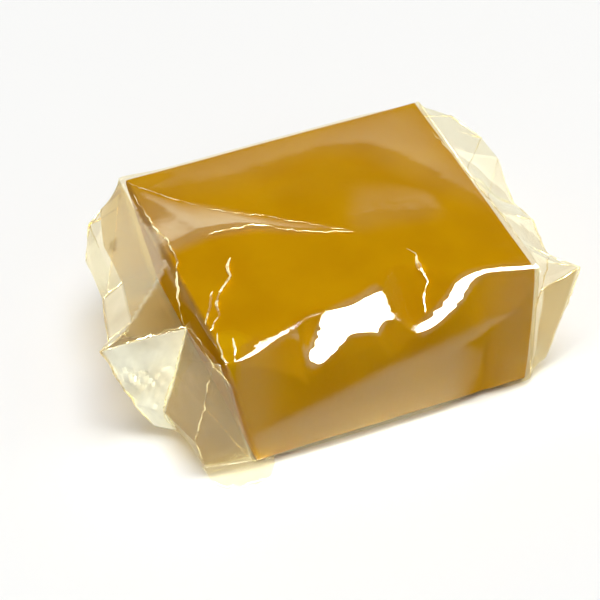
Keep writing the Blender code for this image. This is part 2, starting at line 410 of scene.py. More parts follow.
def caramel_tree(material):
    """Geometry Nodes for the block: a grid box, rounded, pressed into its sleeve and lined."""
    inputs = {"Size": "Vector", "Middle": "Vector", "Sleeve": "Object"}
    start = start_tree("caramel_block", inputs | dict.fromkeys(BLOCK_FORM, "Float"))
    given = start.node("NodeGroupInput")
    size, middle, edge = given.out("Size"), given.out("Middle"), given.out("Edge")
    cube = start.node("GeometryNodeMeshCube", None, {
        "Size": size,
        "Vertices X": BLOCK_GRID[0],
        "Vertices Y": BLOCK_GRID[1],
        "Vertices Z": BLOCK_GRID[2],
    })

    place = start.node("GeometryNodeInputPosition")
    half = size.vector("SCALE", scale=0.5)
    edges = start.joined(edge, edge, edge)
    reach = half.vector("SUBTRACT", edges)
    core = place.vector("MINIMUM", reach).vector("MAXIMUM", reach.vector("SCALE", scale=-1.0))
    off = place.vector("SUBTRACT", core).vector("NORMALIZE").vector("MULTIPLY", edges)
    soft = core.vector("ADD", off)

    share = soft.vector("DIVIDE", half)
    along, across = share.part("X"), share.part("Y")
    height = share.part("Z") * 0.5 + 0.5
    bulge = given.out("Side Bulge") * (1 - (2 * height - 1) ** 2) * (1 - 0.5 * along * along)
    crown = given.out("Top Crown") * height * (1 - along * along) * (1 - across * across)
    on_left = along.maths("LESS_THAN", along, 0.0)
    undercut = on_left * given.out("Left Undercut") + (1 - on_left) * given.out("Right Undercut")
    shift = start.joined(-1 * along * undercut * (1 - height), across * bulge, crown)
    slumped = start.node("GeometryNodeSetPosition", None, {
        "Geometry": cube,
        "Position": soft.vector("ADD", shift).vector("ADD", middle),
    })

    axis = start.joined(place.part("X"), middle.part("Y"), middle.part("Z"))
    spoke = place.vector("SUBTRACT", axis)
    film = start.node("GeometryNodeObjectInfo", None, {"Object": given.out("Sleeve")}, "Geometry")
    probe = start.node("GeometryNodeRaycast", None, {
        "Target Geometry": film,
        "Source Position": axis,
        "Ray Direction": spoke,
        "Ray Length": 1.0,
    }, "Is Hit")
    past = spoke.vector("LENGTH") - probe.out("Hit Distance") + given.out("Room")
    inwards = -1 * probe * past.maths("MAXIMUM", past, 0.0)
    pressed = start.node("GeometryNodeSetPosition", None, {
        "Geometry": slumped,
        "Offset": spoke.vector("NORMALIZE").vector("SCALE", scale=inwards),
    })

    facing = start.node("GeometryNodeInputNormal")
    sides = facing.part("Y") * facing.part("Y")
    level = start.joined(place.part("X") * 35.0, place.part("Y") * 35.0, place.part("Z") * 950.0)
    lines = level.noise(1.0, 2.0)
    slow = place.noise(150.0, 1.0)
    relief = (lines - 0.5) * given.out("Roller Lines") * sides + (slow - 0.5) * given.out("Unevenness")
    lined = start.node("GeometryNodeSetPosition", None, {
        "Geometry": pressed,
        "Offset": facing.vector("SCALE", scale=relief),
    })
    return end_tree(lined, material)


def add_object(name, data):
    """A new object in the scene."""
    item = bpy.data.objects.new(name, data)
    bpy.context.scene.collection.objects.link(item)
    return item


def grow(name, tree, values, start_mesh=None):
    """Run a Geometry Nodes tree with these inputs and keep the result as a plain mesh."""
    seed = add_object(name + "_seed", start_mesh or bpy.data.meshes.new(name + "_seed"))
    nodes = seed.modifiers.new("growth", "NODES")
    nodes.node_group = tree
    for item in tree.interface.items_tree:
        if item.item_type == "SOCKET" and item.in_out == "INPUT" and item.name in values:
            nodes[item.identifier] = values[item.name]
    graph = bpy.context.evaluated_depsgraph_get()
    mesh = bpy.data.meshes.new_from_object(seed.evaluated_get(graph), depsgraph=graph)
    seed.modifiers.remove(nodes)
    bpy.data.objects.remove(seed)
    mesh.name = name
    return add_object(name, mesh)


def quads(index):
    """Faces between neighbouring rows and columns of a grid of point numbers."""
    corners = (index[:-1, :-1], index[1:, :-1], index[1:, 1:], index[:-1, 1:])
    return np.stack(corners, -1).reshape(-1, 4)


def ring_faces(count):
    """Faces of the sleeve, whose rings of count points are closed."""
    index = np.arange(STATIONS * count).reshape(STATIONS, count)
    return quads(np.hstack([index, index[:, :1]])).tolist()


def make_mesh(name, points, faces, materials):
    """A smooth mesh piece from points in millimetres about the block's foot."""
    mesh = bpy.data.meshes.new(name)
    mesh.from_pydata((points.reshape(-1, 3) * MM + np.array(BLOCK_FOOT)).tolist(), [], faces)
    for material in materials:
        mesh.materials.append(material)
    mesh.shade_smooth()
    mesh.update()
    return add_object(name, mesh)


sleeve_mould = make_mesh("sleeve_mould", sleeve_form, ring_faces(sleeve_form.shape[1]), [])
block_body = BLOCK_SIZE + 2 * BLOCK_GROWTH
block_body -= Vector((0, 2 * BLOCK_FORM["Side Bulge"], BLOCK_FORM["Top Crown"]))
block_middle = Vector((BLOCK_FOOT.x, BLOCK_FOOT.y, BLOCK_LOW.z - BLOCK_GROWTH.z + block_body.z / 2))
caramel_block = grow(
    "caramel_block",
    caramel_tree(paint("cooked_caramel", caramel_shader)),
    {"Size": block_body, "Middle": block_middle, "Sleeve": sleeve_mould, **BLOCK_FORM},
)
bpy.data.objects.remove(sleeve_mould)
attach(caramel_block, "root")
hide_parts("caramel")


# The film wrapper. One sheet of clear film, rolled round the block's long sides
# as a sleeve. It lies close to the caramel, stands off it in flat folds that run
# from the corners, and each end is pressed together in a loose, faceted fold.
FILM_THICKNESS = 0.035
SHARP_ANGLE = 24

# The end folds, column by column: how far each reaches out at its ridge and at its
# belly below, how far it leans to the front as it drops, and how far its ridge is
# drawn up. The veils say how loose the film is in the strip over the ridge, and below
# the ridge; above 1 they only make it milkier, and from 1.2, fully from 2.7, they give
# it the doubled film's dark golden tint, painted shade in the fold. On the left fold the
# strip's 8 and 9 paint a milky white highlight streak, and the 17 below makes a big
# facet milky white. Above the shoulder it is loose behind a slanted line, given as its
# distances in from the front at the ridge and at the top, and clings before it
LEFT_FOLD = LEFT_END | {
    "ridge_out": (0.5, 0.95, 7.1, 6.1, 5.0, 4.9, 3.2),
    "belly_out": (2.1, 3.3, 5.2, 4.2, 2.9, 2.7, 1.8),
    "leans": (0.5, 0.3, 1.6, 1.0, 0.0, -0.3, 0.0),
    "rises": (1.6, 2.1, 0.0, 0.0, 0.0, 0.0, 0.0),
    "shoulder_share": 0.66,
    "top_veil": 2.9,
    "top_line": (5.6, 12.0),
    # The strip's values of 3 and more paint a milky white highlight streak over painted shade
    "strip_veils_and_painted_light": (0.5, 0.5, 3.0, 8.0, 9.0, 0.9, 0.6, 0.6),
    # Values from 1.2 paint shade as a dark golden tint; the 17 makes the big facet milky white
    "low_veils_and_painted_shade": (2.2, 2.4, 17.0, 1.8, 1.2, 1.0, 1.0, 1.0),
}
RIGHT_FOLD = RIGHT_END | {
    "ridge_out": (4.1, 2.4, 2.9, 3.3, 3.8, 4.2, 2.6),
    "belly_out": (2.3, 1.3, 1.6, 1.8, 2.1, 2.4, 1.5),
    "leans": (0.0, 0.4, 1.3, -0.9, 0.9, -1.0, 0.4),
    "rises": (0.0, 0.1, 0.6, -0.7, 0.3, -0.6, 0.2),
    "shoulder_share": 0.42,
    "top_veil": 0.9,
    "top_line": (0.0, 0.0),
    "strip_veils_and_painted_light": (0.8,) * 8,
    # The first value, 2.4, paints shade there as a dark golden tint
    "low_veils_and_painted_shade": (2.4, 0.9, 0.6, 0.6, 0.6, 0.6, 0.6, 0.6),
}
RISE_SHARES = (0.0, 0.0, 0.3, 1.0, 0.6)
FOOT_SHARE = 0.71
BORDER_SHARE = 0.15

# Where the film stands off the caramel: nets of points as distance along and
# across (or up the front) and the film's rise there, flat facets between them
CORNER_VEIL = (
    ((-13.2, 11.2, 0.0), (-9.6, 6.6, 0.0), (-5.6, 2.9, 0.0), (-2.2, 0.4, 0.0), (1.5, -2.2, 0.0)),
    ((-13.2, 1.4, 0.24), (-9.0, 2.2, 0.30), (-5.4, 1.4, 0.24), (-2.2, -0.6, 0.12), (1.5, -2.2, 0.0)),
    ((-13.2, 0.7, 0.0), (-9.0, 1.4, 0.0), (-5.4, 0.7, 0.0), (-2.2, -1.1, 0.0), (1.6, -2.4, 0.0)),
)
BACK_VEIL = (
    ((-13.2, 11.3, 0.0), (-5.5, 11.3, 0.0), (1.8, 11.3, 0.0),
     (12.9, 11.3, 0.0), (13.0, 4.0, 0.0), (13.1, -3.5, 0.0)),
    ((-13.2, 9.4, 0.10), (-5.5, 7.9, 0.14), (1.8, 8.6, 0.14),
     (6.8, 7.2, 0.20), (9.6, 2.6, 0.20), (12.8, -3.0, 0.08)),
    ((-13.2, 7.5, 0.0), (-5.5, 5.2, 0.0), (1.8, 6.4, 0.0),
     (5.2, 5.4, 0.0), (7.6, 0.8, 0.0), (12.0, -4.5, 0.0)),
)
LONG_VEIL = (
    ((3.6, 2.8, 0.0), (9.6, 1.0, 0.0)),
    ((1.6, -1.4, 0.09), (8.4, -2.3, 0.09)),
    ((1.6, -2.6, 0.0), (8.4, -3.6, 0.0)),
)
FRONT_VEIL = (
    ((-11.0, 4.3, 0.0), (-5.5, 5.7, 0.0), (0.0, 7.3, 0.0), (6.0, 8.3, 0.0), (13.2, 9.8, 0.0)),
    ((-10.9, 3.6, 0.13), (-5.4, 5.1, 0.16), (0.0, 6.6, 0.16), (5.5, 7.6, 0.16), (13.2, 9.2, 0.08)),
    ((-10.4, 0.7, 0.13), (-5.0, 0.6, 0.16), (0.0, 0.5, 0.16), (5.4, 0.5, 0.16), (6.2, 6.9, 0.13)),
    ((-10.2, 0.0, 0.0), (-5.0, 0.0, 0.0), (0.0, 0.0, 0.0), (7.6, 0.0, 0.0), (8.6, 5.6, 0.0)),
)

# Each with how loose the film is at its ridge, and how often it is smoothed
TOP_VEILS = ((CORNER_VEIL, 1.4, 1), (BACK_VEIL, 0.38, 12), (LONG_VEIL, 0.35, 8))
FRONT_VEILS = ((FRONT_VEIL, 0.70, 1),)
LEAST_FACET = 1e-6

# Where the veils fade out, measured in from the edges of the top, the front and the
# ends, and how loose the film is where it leaves the block's ends
TOP_EDGE = (2.0, 0.4)
FRONT_EDGE = (2.0, 0.3)
END_EDGE = (-0.2, 1.0)
END_LIFT = 0.62
END_LIFT_EDGE = (-0.1, 0.5)

# How loose the film is elsewhere: out past the shine facet, as a faint sheen towards
# the front's ends, across and before the slanted line on a fold, and at a fold's foot
SHINE_FRINGE = (0.1, 0.5)
SHEEN = 0.22
SHEEN_FROM = (7.5, 11.0)
LINE_BLUR = 0.3
LINE_CLING = 0.2
FOOT_LIFT = 1.0

# A patch of the left fold where the film has been crumpled
CRUMPLE_AT = (-17.4, -5.6, 6.6)
CRUMPLE_REACH = 3.6
CRUMPLE_DEPTH = 9.0
CRUMPLE_EDGE = (-0.2, 0.8)
CRUMPLE_SEED = 11

# Straight creases near these corners: how many each has, how far they stray, how far
# they reach, how deep they are and how blunt
CREASE_CORNERS = (
    (-13.0, -11.0, 11.5), (-13.0, 11.0, 11.5), (13.0, -11.0, 11.5), (13.0, 11.0, 11.5),
    (-11.5, -11.0, 1.5), (-11.5, 11.0, 1.5), (12.5, -11.0, 1.5), (12.5, 11.0, 1.5),
    (-17.0, -5.0, 6.5), (-15.5, 1.0, 10.5), (-17.0, 5.0, 7.0), (15.5, 0.0, 8.0),
)
CORNER_CREASES = 9
CREASE_STRAY = 1.8
CREASE_REACH = (1.2, 3.6)
CREASE_SLOPE = (0.04, 0.13)
CREASE_BLUNT = 0.02
CREASE_SEED = 7


def fold_net(end):
    """The corners of an end fold's facets, by column and row."""
    columns, rows = column_marks(end), row_marks(end)
    ridge = rows[-3]
    net = np.zeros((len(columns), len(rows), 3))
    for row, height in enumerate(rows):
        edge = HALF_LENGTH - end["undercut"] * (1 - height / SLEEVE_TOP)
        for column, inset in enumerate(columns):
            net[column, row] = (end["side"] * edge, inset - HALF_WIDTH, height)
    shapes = zip(end["ridge_out"], end["belly_out"], end["leans"], end["rises"])
    for column, (out, belly, lean, rise) in enumerate(shapes, 1):
        outs = (FOOT_SHARE * belly, belly, (belly + out) / 2, out, end["shoulder_share"] * out)
        for row, (reach, raised) in enumerate(zip(outs, RISE_SHARES), 1):
            sunk = max(0.0, 1 - rows[row] / ridge)
            net[column, row, 0] = end["side"] * (HALF_LENGTH + reach)
            net[column, row, 1] -= lean * sunk
            net[column, row, 2] += rise * raised
    return net


def fold_lift(end):
    """How loose the film is at each fine point of an end fold; its high values paint shade and a highlight
    streak.
    """
    ridge = sum(ROW_COUNTS[:-2])
    shoulder, top = ridge + ROW_COUNTS[-2], sum(ROW_COUNTS)
    low, strip = (np.append(np.repeat(end[veils], end["fine"]), end[veils][-1])
                  for veils in ("low_veils_and_painted_shade", "strip_veils_and_painted_light"))
    insets = fine_levels(column_marks(end), end["fine"])[:, None]
    up = np.linspace(0, 1, top - ridge)[None, :]
    line = end["top_line"][0] + (end["top_line"][1] - end["top_line"][0]) * up
    behind = smooth_step(insets - line, -LINE_BLUR, LINE_BLUR)
    lift = np.empty((len(insets), top + 1))
    lift[:, :ridge + 1] = low[:, None]
    lift[:, :ROW_COUNTS[0] + 1] = np.minimum(low, FOOT_LIFT)[:, None]
    lift[:, ridge + 1:] = end["top_veil"] * behind
    over = behind[:, :shoulder - ridge - 1] > 0.5
    lift[:, ridge + 1:shoulder] = np.where(over, strip[:, None], LINE_CLING)
    return lift


def fill_net(net, fine_columns, fine_rows):
    """Fill a net of facets with a fine grid, facet by facet."""
    columns = fine_levels(range(net.shape[0]), fine_columns)
    rows = fine_levels(range(net.shape[1]), fine_rows)
    column = np.minimum(columns.astype(int), net.shape[0] - 2)
    row = np.minimum(rows.astype(int), net.shape[1] - 2)
    part_c = (columns - column)[:, None, None]
    part_r = (rows - row)[None, :, None]
    low = net[column][:, row] * (1 - part_c) + net[column + 1][:, row] * part_c
    high = net[column][:, row + 1] * (1 - part_c) + net[column + 1][:, row + 1] * part_c
    return low * (1 - part_r) + high * part_r


def fold_grid(end, ring):
    """The fine grid of an end fold, with its border on the sleeve's last ring."""
    fine = fill_net(fold_net(end), end["fine"], ROW_COUNTS)
    last_column, last_row = fine.shape[0] - 1, fine.shape[1] - 1
    border = {
        "front": ring[:last_row + 1],
        "top": ring[last_row:last_row + last_column + 1],
        "back": ring[last_row + last_column:2 * last_row + last_column + 1][::-1],
        "base": np.vstack([ring[:1], ring[2 * last_row + last_column:][::-1]]),
    }
    across = np.linspace(0, 1, last_column + 1)[:, None, None]
    up = np.linspace(0, 1, last_row + 1)[None, :, None]
    near = {side: np.clip(1 - gap / BORDER_SHARE, 0, 1) for side, gap in (
        ("front", across), ("back", 1 - across), ("base", up), ("top", 1 - up))}
    pull_front = (border["front"] - fine[0])[None]
    pull_back = (border["back"] - fine[-1])[None]
    pull_base = (border["base"] - fine[:, 0])[:, None]
    pull_top = (border["top"] - fine[:, -1])[:, None]
    pulled = pull_front * near["front"] + pull_back * near["back"]
    pulled = pulled + pull_base * near["base"] * (1 - near["front"]) * (1 - near["back"])
    pulled = pulled + pull_top * near["top"] * (1 - near["front"]) * (1 - near["back"])
    fine = fine + pulled
    fine[0], fine[-1] = border["front"], border["back"]
    fine[:, 0], fine[:, -1] = border["base"], border["top"]
    return fine


def veil_height(flat, net):
    """The rise of a net of flat facets over the plane, nothing outside it."""
    height = np.zeros(flat.shape[:-1])
    for near, far in zip(net, net[1:]):
        for a, b, c, d in zip(near, near[1:], far[1:], far):
            for first, second, third in ((a, b, c), (a, c, d)):
                root = np.array(first[:2])
                edges = np.array([np.array(second[:2]) - root, np.array(third[:2]) - root]).T
                if abs(np.linalg.det(edges)) < LEAST_FACET:
                    continue
                shares = (flat - root) @ np.linalg.inv(edges).T
                u, v = shares[..., 0], shares[..., 1]
                inside = (u >= 0) & (v >= 0) & (u + v <= 1)
                rise = first[2] + u * (second[2] - first[2]) + v * (third[2] - first[2])
                height = np.maximum(height, np.where(inside, rise, 0.0))
    return height


def crease_height(points, seed):
    """Straight creases in all directions, thick near the block's corners."""
    random = np.random.default_rng(seed)
    height = np.zeros(points.shape[:-1])
    for corner in CREASE_CORNERS:
        for _ in range(CORNER_CREASES):
            middle = np.array(corner) + random.normal(0, CREASE_STRAY, 3)
            turn = random.normal(0, 1, 3)
            turn /= np.linalg.norm(turn)
            reach = random.uniform(*CREASE_REACH)
            strength = random.choice((-1, 1)) * random.uniform(*CREASE_SLOPE)
            offset = points - middle
            bend = np.sqrt((offset @ turn) ** 2 + CREASE_BLUNT ** 2)
            height += strength * bend * np.exp(-(offset ** 2).sum(-1) / reach ** 2)
    return height


def lay_veils(flat, veils):
    """The rise of the veils on points of one side, and how loose the film is there."""
    heights = [soften(veil_height(flat, net), times) for net, _, times in veils]
    lifts = [height / max(point[2] for row in net for point in row) * loose
             for height, (net, loose, _) in zip(heights, veils)]
    return np.max(heights, axis=0), np.max(lifts, axis=0)


def lay_folds(points):
    """Raise the film's veils on points of the sleeve, and say how loose it is."""
    x, y, z = points[..., 0], points[..., 1], points[..., 2]
    rise, loose_top = lay_veils(points[..., [0, 1]], TOP_VEILS)
    push, loose_front = lay_veils(points[..., [0, 2]], FRONT_VEILS)
    on_top = smooth_step(z, SLEEVE_TOP - TOP_EDGE[0], SLEEVE_TOP - TOP_EDGE[1])
    on_front = smooth_step(-y, HALF_WIDTH - FRONT_EDGE[0], HALF_WIDTH - FRONT_EDGE[1])
    to_end = HALF_LENGTH - np.abs(x)
    inside = smooth_step(to_end, *END_EDGE)
    moved = points.copy()
    moved[..., 2] += rise * on_top * inside
    moved[..., 1] -= push * on_front * inside
    inset, down, wide, _, _, loose = shine_track(x)
    off = np.hypot(y + HALF_WIDTH - inset, SLEEVE_TOP - z - down) - wide / 2
    shine = loose * (1 - smooth_step(off, *SHINE_FRINGE))
    sheen = SHEEN * smooth_step(np.abs(x), *SHEEN_FROM) * on_front
    lift = np.max([loose_top * on_top, loose_front * on_front, shine, sheen], axis=0)
    return moved, np.maximum(lift, END_LIFT * (1 - smooth_step(to_end, *END_LIFT_EDGE)))


FILM_TINT = (0.976, 0.955, 0.892, 1.0)
FILM_SHINE = (0.96, 1.0, 0.84, 1.0)
FILM_HAZE = (1.0, 0.97, 0.78, 1.0)
# Doubled film's tint, darker and more golden than the single film: painted shade in the folds
FOLD_TINT_AND_SHADE = (0.77, 0.64, 0.34, 1.0)
EDGE_TINT = (0.95, 0.92, 0.84, 1.0)
CLING_SHINE = 0.035
HAZE_SHARE = 0.05
DOUBLED = (1.2, 2.7)


def film_shader(place):
    """Clear film: a mirror that grows towards glancing views, weak where it clings.

    Where the lift is high it grows milky, and takes the doubled film's dark golden
    tint, which paints shade inside the folds.
    """
    ripples = place.noise(420.0, 3.0)
    scuffs = place.noise(2600.0, 2.0)
    clouds = place.noise(260.0, 3.0)
    waves = place.node("ShaderNodeBump", None, {"Strength": 0.10, "Distance": 0.0004, "Height": ripples})
    lift = place.node("ShaderNodeAttribute", {"attribute_name": "lift"}, output="Fac")
    turned = place.node("ShaderNodeLayerWeight", None, {"Blend": 0.5}, "Facing")
    loose = lift.maths("MINIMUM", lift, 1.0)
    mirror = (0.05 + 0.95 * turned ** 5) * (CLING_SHINE + (1 - CLING_SHINE) * loose)
    haze = lift * HAZE_SHARE * (0.4 + 1.2 * clouds)
    single = place.node("ShaderNodeBsdfTransparent", None, {"Color": FILM_TINT})
    # Its dark golden tint paints the shade inside a fold
    doubled = place.node("ShaderNodeBsdfTransparent", None, {"Color": FOLD_TINT_AND_SHADE})
    clear = lift.between(*DOUBLED).blend_shader(single, doubled)
    milk = place.node("ShaderNodeBsdfPrincipled", None, {
        "Base Color": FILM_HAZE,
        "Roughness": 0.6,
        "Specular IOR Level": 0.0,
    })
    gloss = place.node("ShaderNodeBsdfPrincipled", None, {
        "Base Color": FILM_SHINE,
        "Metallic": 1.0,
        "Roughness": 0.02 + scuffs * 0.06,
        "Normal": waves,
    })
    return mirror.blend_shader(haze.blend_shader(clear, milk), gloss)


# The film's cut rim: clear in part, with a pale, partly opaque colour that paints the glint of a cut edge
def film_edge_painted_glint_shader(place):
    clear = place.node("ShaderNodeBsdfTransparent", None, {"Color": EDGE_TINT})
    nicks = place.noise(900.0, 2.0)
    gloss = place.node("ShaderNodeBsdfPrincipled", None, {
        "Base Color": FILM_SHINE,
        "Metallic": 0.6,
        "Roughness": 0.15 + nicks * 0.2,
    })
    return (0.3 + nicks * 0.2).blend_shader(clear, gloss)


def give_thickness(item):
    """Make a sheet of film a wall, whose rim takes the piece's second material."""
    wall = item.modifiers.new("film thickness", "SOLIDIFY")
    wall.thickness = FILM_THICKNESS * MM
    wall.offset = -1.0
    wall.use_even_offset = False
    wall.material_offset_rim = 1


def set_lift(item, values):
    """Store on each point how far the film stands off, which its shader reads; high values make it milky
    and paint shade as a dark golden tint.
    """
    item.data.attributes.new("lift", "FLOAT", "POINT").data.foreach_set("value", values)


clear_film = paint("clear_film", film_shader)
film_edge = paint("film_edge", film_edge_painted_glint_shader)

sleeve, sleeve_lift = lay_folds(sleeve_form)
left_end = fold_grid(LEFT_FOLD, sleeve[0])
right_end = fold_grid(RIGHT_FOLD, sleeve[-1])
ring_count = sleeve.shape[1]
film_points = [sleeve.reshape(-1, 3)]
film_faces = ring_faces(ring_count)


def close_end(grid, ring_start, mirrored):
    """Join an end fold's grid to the sleeve's last ring."""
    columns, rows = grid.shape[0] - 1, grid.shape[1] - 1
    first = sum(len(points) for points in film_points)
    index = np.full((columns + 1, rows + 1), -1)
    inner = (columns - 1) * (rows - 1)
    index[1:-1, 1:-1] = first + np.arange(inner).reshape(columns - 1, rows - 1)
    index[0, :] = ring_start + np.arange(rows + 1)
    index[:, rows] = ring_start + rows + np.arange(columns + 1)
    index[columns, :] = ring_start + 2 * rows + columns - np.arange(rows + 1)
    index[1:, 0] = ring_start + 2 * (rows + columns) - np.arange(1, columns + 1)
    film_points.append(grid[1:-1, 1:-1].reshape(-1, 3))
    return (quads(index)[:, ::-1] if mirrored else quads(index)).tolist()


film_faces += close_end(left_end, 0, True)
film_faces += close_end(right_end, (STATIONS - 1) * ring_count, False)
film_all = np.vstack(film_points)
film_wrap = make_mesh("film_wrap", film_all, film_faces, [clear_film, film_edge])
normals = np.zeros(film_all.size)
film_wrap.data.vertices.foreach_get("normal", normals)
crumpled = np.exp(-((film_all - CRUMPLE_AT) ** 2).sum(-1) / CRUMPLE_REACH ** 2)
crumpled *= smooth_step(-film_all[:, 0] - HALF_LENGTH, *CRUMPLE_EDGE)
relief = crease_height(film_all, CREASE_SEED)
relief += CRUMPLE_DEPTH * crumpled * crinkle(film_all, CRUMPLE_SEED)
film_all += normals.reshape(-1, 3) * relief[:, None]
film_all[:, 2] = np.maximum(film_all[:, 2], 0.0)
film_wrap.data.vertices.foreach_set("co", (film_all * MM + np.array(BLOCK_FOOT)).ravel())
film_wrap.data.update()
film_wrap.data.set_sharp_from_angle(angle=math.radians(SHARP_ANGLE))
end_lifts = [fold_lift(end)[1:-1, 1:-1].ravel() for end in (LEFT_FOLD, RIGHT_FOLD)]
set_lift(film_wrap, np.concatenate([sleeve_lift.ravel()] + end_lifts))
give_thickness(film_wrap)
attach(film_wrap, "root")
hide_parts("film_wrapper")


# The tucks. At each end the sleeve's two sides are pushed in before the fold is
# pressed, so a slack three-cornered sheet of the same film lies inside each side.
# Each is given as its end, its side and its tip's distances out, in and up
TUCKS = (
    (LEFT_FOLD, -1, (1.9, 8.0, 6.0)),
    (LEFT_FOLD, 1, (3.6, 6.4, 6.6)),
    (RIGHT_FOLD, -1, (2.0, 5.2, 6.8)),
    (RIGHT_FOLD, 1, (2.6, 6.0, 7.0)),
)
TUCK_STEPS = 26
TUCK_CLEAR_OUT = (0.1, 0.3)
TUCK_CLEAR_IN = 0.3
TUCK_CLEAR_UP = 0.5
TUCK_BLUNT = 0.985
TUCK_SAG = 0.9
TUCK_WAVE = (9.0, 4.0, 0.25)


def tuck_points(end, side, tip):
    """A slack triangle from the sleeve's end, high and low, to its tip inside."""
    out, inward, up = tip
    high_out = end["side"] * (HALF_LENGTH + TUCK_CLEAR_OUT[0])
    low_out = end["side"] * (HALF_LENGTH - end["undercut"] + TUCK_CLEAR_OUT[1])
    edge = side * (HALF_WIDTH - TUCK_CLEAR_IN)
    high = np.array((high_out, edge, SLEEVE_TOP - TUCK_CLEAR_UP))
    low = np.array((low_out, edge, TUCK_CLEAR_UP))
    point = np.array((end["side"] * (HALF_LENGTH + out), side * (HALF_WIDTH - inward), up))
    across, along = np.meshgrid(np.linspace(0, 1, TUCK_STEPS), np.linspace(0, TUCK_BLUNT, TUCK_STEPS))
    across, along = across[..., None], along[..., None]
    flat = (high * (1 - across) + low * across) * (1 - along) + point * along
    sag = np.sin(math.pi * across) * np.sin(math.pi * along)
    wave = np.sin(TUCK_WAVE[0] * across + TUCK_WAVE[1] * along) * np.sin(math.pi * along) * TUCK_WAVE[2]
    return flat + np.array((0, -side, 0)) * (sag * TUCK_SAG + wave)


def film_sheets(name, sheets):
    """A piece of film made of grids of points, with its thickness."""
    points, faces = [], []
    for sheet in sheets:
        flat = sheet.reshape(-1, 3)
        index = sum(len(part) for part in points) + np.arange(len(flat)).reshape(sheet.shape[:2])
        faces += quads(index.T).tolist()
        points.append(flat)
    item = make_mesh(name, np.vstack(points), faces, [clear_film, film_edge])
    set_lift(item, np.full(len(item.data.vertices), END_LIFT))
    give_thickness(item)
    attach(item, "root")
    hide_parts("film_wrapper")


film_sheets("film_tucks", [tuck_points(*tuck) for tuck in TUCKS])


# The ears. Pressing the ends leaves a small round lobe of doubled film at the
# foot of two corners; each stands out level from the crease that it hangs on.
# Each is given as that crease's two ends, how far it stands out, and its side
EARS = (
    ((-14.7, -10.6, 0.9), (-9.2, -11.5, 0.7), 2.1, -1),
    ((15.6, 10.3, 1.0), (10.4, 11.5, 0.7), 1.1, 1),
)
EAR_STEPS = (30, 12)
EAR_ROUND = (0.85, 2.4)
EAR_FRILLS = ((0.06, 17, 0), (0.05, 31, 1))
EAR_RIPPLE = (0.16, 13, 2)
EAR_DROOP = 0.5


def ear_points(root, finish, depth, side):
    """A lobe that hangs on the line from root to finish."""
    along = np.linspace(0, 1, EAR_STEPS[0])[:, None, None]
    out = np.linspace(0, 1, EAR_STEPS[1])[None, :, None]
    line = np.array(root) * (1 - along) + np.array(finish) * along
    lean, roundness = EAR_ROUND
    reach = depth * np.sqrt(np.clip(1 - np.abs(2 * along ** lean - 1) ** roundness, 0, 1))
    wide, narrow = (high * np.sin(often * along + shift) for high, often, shift in EAR_FRILLS)
    reach = reach * (1 + wide + narrow)
    ripple = EAR_RIPPLE[0] * np.sin(EAR_RIPPLE[1] * along + EAR_RIPPLE[2] * out) * out
    drop = -EAR_DROOP * out ** 2 * reach / depth
    return line + out * reach * np.array((0, side, 0)) + (ripple + drop) * np.array((0, 0, 1))


film_sheets("film_ears", [ear_points(*ear) for ear in EARS])


# The creases. Where the film is folded sharply or pinched, it stands up as a
# thin bead, painted pale in broken patches as a glint: on the ridges of the ends,
# and in loose lines near the corners.
# Each loose one is given as its radius and its path
TOP = SLEEVE_TOP
LOOSE_CREASES = (
    (0.030, ((-12.7, 10.4, TOP), (-7.3, 4.2, TOP), (-4.4, 2.3, TOP), (-2.4, 0.6, TOP), (1.2, -2.1, TOP))),
    (0.032, ((-9.0, 1.9, TOP), (-5.4, 1.3, TOP), (-2.2, -0.7, TOP), (1.4, -2.3, TOP))),
    (0.070, ((12.2, 6.5, TOP), (12.6, 1.5, TOP), (12.8, -4.0, TOP), (12.9, -8.5, TOP))),
    (0.095, ((-8.3, -1.2, TOP), (-8.9, -2.0, TOP), (-9.3, -3.3, TOP), (-10.6, -4.4, TOP))),
    (0.090, ((-10.2, -4.2, TOP), (-11.2, -5.6, TOP), (-11.5, -6.8, TOP), (-12.7, -8.0, TOP))),
    (0.070, ((-10.9, -4.0, TOP), (-12.0, -6.0, TOP), (-12.8, -7.4, TOP))),
    (0.085, ((-12.2, -8.4, TOP), (-12.6, -10.0, TOP), (-12.3, -11.4, 11.9))),
    (0.080, ((-11.3, -9.2, TOP), (-11.5, -10.2, TOP), (-12.0, -11.4, 11.9))),
    (0.055, ((4.4, -5.6, TOP), (4.8, -6.6, TOP), (4.3, -7.6, TOP), (4.6, -8.6, TOP))),
    (0.095, ((4.7, -6.6, TOP), (4.5, -7.8, TOP), (4.6, -8.8, 11.7), (4.0, -9.8, 11.1), (3.7, -10.7, 10.4))),
    (0.065, ((-12.7, 9.0, TOP), (-12.4, 4.6, TOP), (-12.1, 0.8, TOP),
             (-13.2, -2.6, 12.1), (-13.9, -6.0, 11.4))),
)

# On an end fold they run along the ridge, from column to column, and down its sharp
# edges, each given as its column and its lowest and highest row
RIDGE_RADIUS = 0.050
RIDGE_RUNS = ((0, 5), (6, 8))
LEFT_CREASES = ((1, 1, 5), (2, 1, 5), (3, 1, 5), (4, 1, 5), (5, 1, 5), (6, 1, 3), (7, 3, 5))
RIGHT_CREASES = ((1, 1, 5), (2, 2, 5), (3, 4, 5), (4, 1, 3), (5, 3, 4), (6, 1, 5))
# The pale colour of the beads: a painted glint along the folds
CREASE_PAINTED_GLINT = (1.0, 0.90, 0.52, 1.0)
CREASE_STEP = 0.16
CREASE_SIDES = 8
CREASE_TAPER = 0.4
CREASE_THINNEST = 0.05
CREASE_FORM = {"Step": CREASE_STEP * MM, "Uneven": 2.2, "Wander": 0.28 * MM, "Seed": 3.0}


